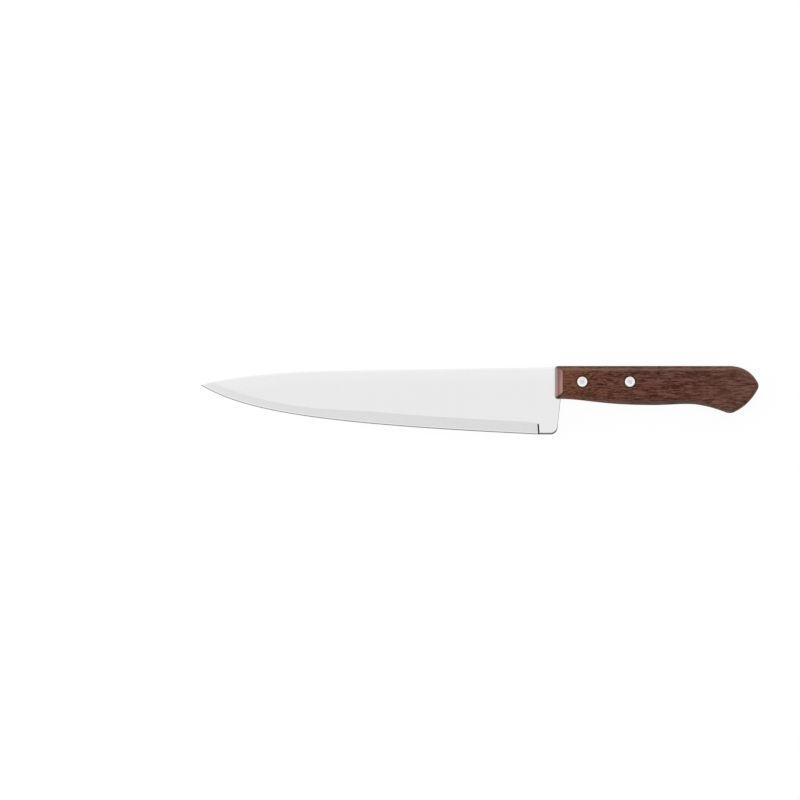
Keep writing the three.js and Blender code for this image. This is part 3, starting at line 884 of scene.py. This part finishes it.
# Aluminium: a grey hammered middle with dents, and a bright rim with sanding lines along the handle.
rivet_aluminium, aluminium_shader, aluminium = new_finish("rivet_aluminium", {"Metallic": 1.0})
aluminium_place = aluminium.place()
hammered = 1 - aluminium.mark("from_axis").smooth(0.4 * head_dish_radius, 1.05 * head_dish_radius)
grains = aluminium_place.noise((1700, 1700, 1700))
sanding = aluminium_place.noise((300, 6000, 300), roughness=0.6)
grain_tone = (grains - 0.5) * 2.2 + 0.55
hammered_colour = grain_tone.tint((0.46, 0.47, 0.50, 1), (0.84, 0.85, 0.88, 1))
rim_tone = (grains - 0.5) * 1.2 + sanding
rim_colour = rim_tone.tint((0.80, 0.755, 0.735, 1), (0.97, 0.925, 0.905, 1))
feed(aluminium_shader.inputs["Base Color"], hammered.tint(rim_colour, hammered_colour))
feed(aluminium_shader.inputs["Roughness"], 0.3 + hammered * 0.15 + (sanding - 0.5) * 0.1)
dents = {"Height": grains * hammered + sanding * 0.1, "Strength": 0.35, "Distance": 0.08 * MM}
feed(aluminium_shader.inputs["Normal"], aluminium.node("ShaderNodeBump", dents))


def turned_rivet(name, node, radii, heights):
    """A rivet half turned about its axis: the profile's radii and heights, from one pole to the other."""
    block = shaft(rivet_middle(node), radii, heights)
    marks = {"from_axis": np.repeat(radii, circle_points)}
    piece = make_piece(name, [block], marks)
    piece.data.materials.append(rivet_aluminium)
    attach(piece, "root")
    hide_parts(node)


for row in ["front", "rear"]:
    tube_low, tube_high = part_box(row + "_rivet_tube")
    pin_low, pin_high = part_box(row + "_rivet_pin")
    head_radius = (tube_high.x - tube_low.x) / 2
    rim_radii = [head_radius, head_radius, head_radius - head_bevel, head_dish_radius + head_dish_wall]
    dish_radii = np.linspace(head_dish_radius, 0, 8)
    dish_depths = head_dish_depth * (1 - (1 - head_dish_edge) * (dish_radii / head_dish_radius) ** 2)
    head_radii = [*rim_radii, *dish_radii]
    head_depths = np.array([head_height, head_bevel, 0, 0, *dish_depths])

    tube_under = tube_high.z - head_height
    tube_radii = [0, bore_radius, bore_radius, tube_radius, tube_radius, *head_radii]
    bore_heights = [tube_under, tube_under, tube_low.z, tube_low.z, tube_under]
    tube_heights = [*bore_heights, *(tube_high.z - head_depths)]
    turned_rivet(row + "_rivet_upper", row + "_rivet_tube", tube_radii, tube_heights)

    pin_under = pin_low.z + head_height
    pin_radii = [0, pin_radius - pin_point, pin_radius, pin_radius, *head_radii]
    pin_heights = [pin_high.z, pin_high.z, pin_high.z - pin_point, pin_under, *(pin_low.z + head_depths)]
    turned_rivet(row + "_rivet_lower", row + "_rivet_pin", pin_radii, pin_heights)

# Floor, light and camera
# The knife lies on a white surface, seen from straight above. A wide soft sky is brightest overhead, darker
# towards the cutting edge and lighter again low on that side. Two lamps light the handle's front: a low one
# from the tip's side and a higher one from behind the back.
floor_half = 3.0
floor_gap = 0.05 * MM  # keeps the floor's face and the knife's apart
floor_bounce = grey(0.5)  # what the floor throws back on the knife
floor_glow = 0.95  # share of plain white where the floor is seen
floor_mesh = bpy.data.meshes.new("floor")
floor_corners = floor_half * np.array([(-1, -1), (1, -1), (1, 1), (-1, 1)])
floor_mesh.from_pydata(at_height(floor_corners, cad_low.z - floor_gap), [], [(0, 1, 2, 3)])
floor = bpy.data.objects.new("floor", floor_mesh)
bpy.context.scene.collection.objects.link(floor)
floor_white, floor_shader, white = new_finish("floor_white", {"Roughness": 1.0, "Specular IOR Level": 0.0})
camera_ray = white.node("ShaderNodeLightPath", {}, output="Is Camera Ray")
glossy_ray = camera_ray.other("Is Glossy Ray")
glass_ray = camera_ray.other("Is Transmission Ray")
seen = white.math("MAXIMUM", camera_ray, white.math("MAXIMUM", glossy_ray, glass_ray))
paper_colour = white.place().noise((40, 40, 40)).tint(grey(0.98), grey(1.0))
feed(floor_shader.inputs["Base Color"], seen.tint(floor_bounce, paper_colour))
glow = white.node("ShaderNodeEmission", {"Color": grey(1), "Strength": 1.0})
floor_mix = white.node("ShaderNodeMixShader", {0: seen * floor_glow, 1: white, 2: glow})
feed(floor_white.node_tree.nodes["Material Output"].inputs["Surface"], floor_mix)
floor_mesh.materials.append(floor_white)

horizon_light = 0.45
overhead_light = 0.65  # added overhead
edge_side_loss = 0.72  # taken away towards the cutting edge
low_edge_gain = 0.8  # given back low on that side
sky = bpy.data.worlds.new("sky")
sky.use_nodes = True
bpy.context.scene.world = sky
background = sky.node_tree.nodes["Background"]
sky_wire = Wire(background.outputs[0])
direction = sky_wire.node("ShaderNodeTexCoord", {}, output="Generated")
sky_y = sky_wire.node("ShaderNodeSeparateXYZ", {"Vector": direction}, output="Y")
overhead = horizon_light + overhead_light * sky_y.other("Z").smooth(0.0, 0.9)
to_edge = 0 - sky_y
edge_side = 1 - edge_side_loss * to_edge.smooth(0.0, 0.75) + low_edge_gain * to_edge.smooth(0.45, 0.9)
brightness = overhead * edge_side
sky_camera = sky_wire.node("ShaderNodeLightPath", {}, output="Is Camera Ray")
feed(background.inputs["Strength"], sky_camera + (1 - sky_camera) * brightness)
feed(background.inputs["Color"], grey(1))


def soft_lamp(name, place, target, size, watts):
    """A rectangular lamp at a place, turned to a target."""
    lamp = bpy.data.lights.new(name, "AREA")
    lamp.shape = "RECTANGLE"
    lamp.size, lamp.size_y = size
    lamp.energy = watts
    holder = bpy.data.objects.new(name, lamp)
    holder.location = place
    holder.rotation_euler = (Vector(target) - Vector(place)).to_track_quat("-Z", "Y").to_euler()
    holder.visible_camera = False
    holder.visible_glossy = False
    bpy.context.scene.collection.objects.link(holder)


handle_front = (front_x, back_y - handle_front_height / 2, handle_high.z)
low_place = (front_x - 0.8, 0.05, 0.27)
back_place = (front_x, 0.8, 0.42)
soft_lamp("low_lamp", low_place, handle_front, size=(0.5, 0.25), watts=4.0)
soft_lamp("back_lamp", back_place, handle_front, size=(0.9, 0.25), watts=2.0)

view_width = 458.7 * MM  # seen from side to side at the knife's middle
view_ahead = 88.87 * MM  # the view's middle, in front of the handle's front face
view_below = 19.49 * MM  # and below the handle's back
camera_distance = 6
camera_data = bpy.data.cameras.new("camera")
camera_data.sensor_width = 36
camera_data.lens = camera_data.sensor_width * camera_distance / view_width
camera_data.clip_end = 20
camera = bpy.data.objects.new("camera", camera_data)
camera.location = (*in_knife(-view_ahead, -view_below), middle_z + camera_distance)
bpy.context.scene.collection.objects.link(camera)
bpy.context.scene.camera = camera
bpy.context.scene.view_settings.view_transform = "Standard"
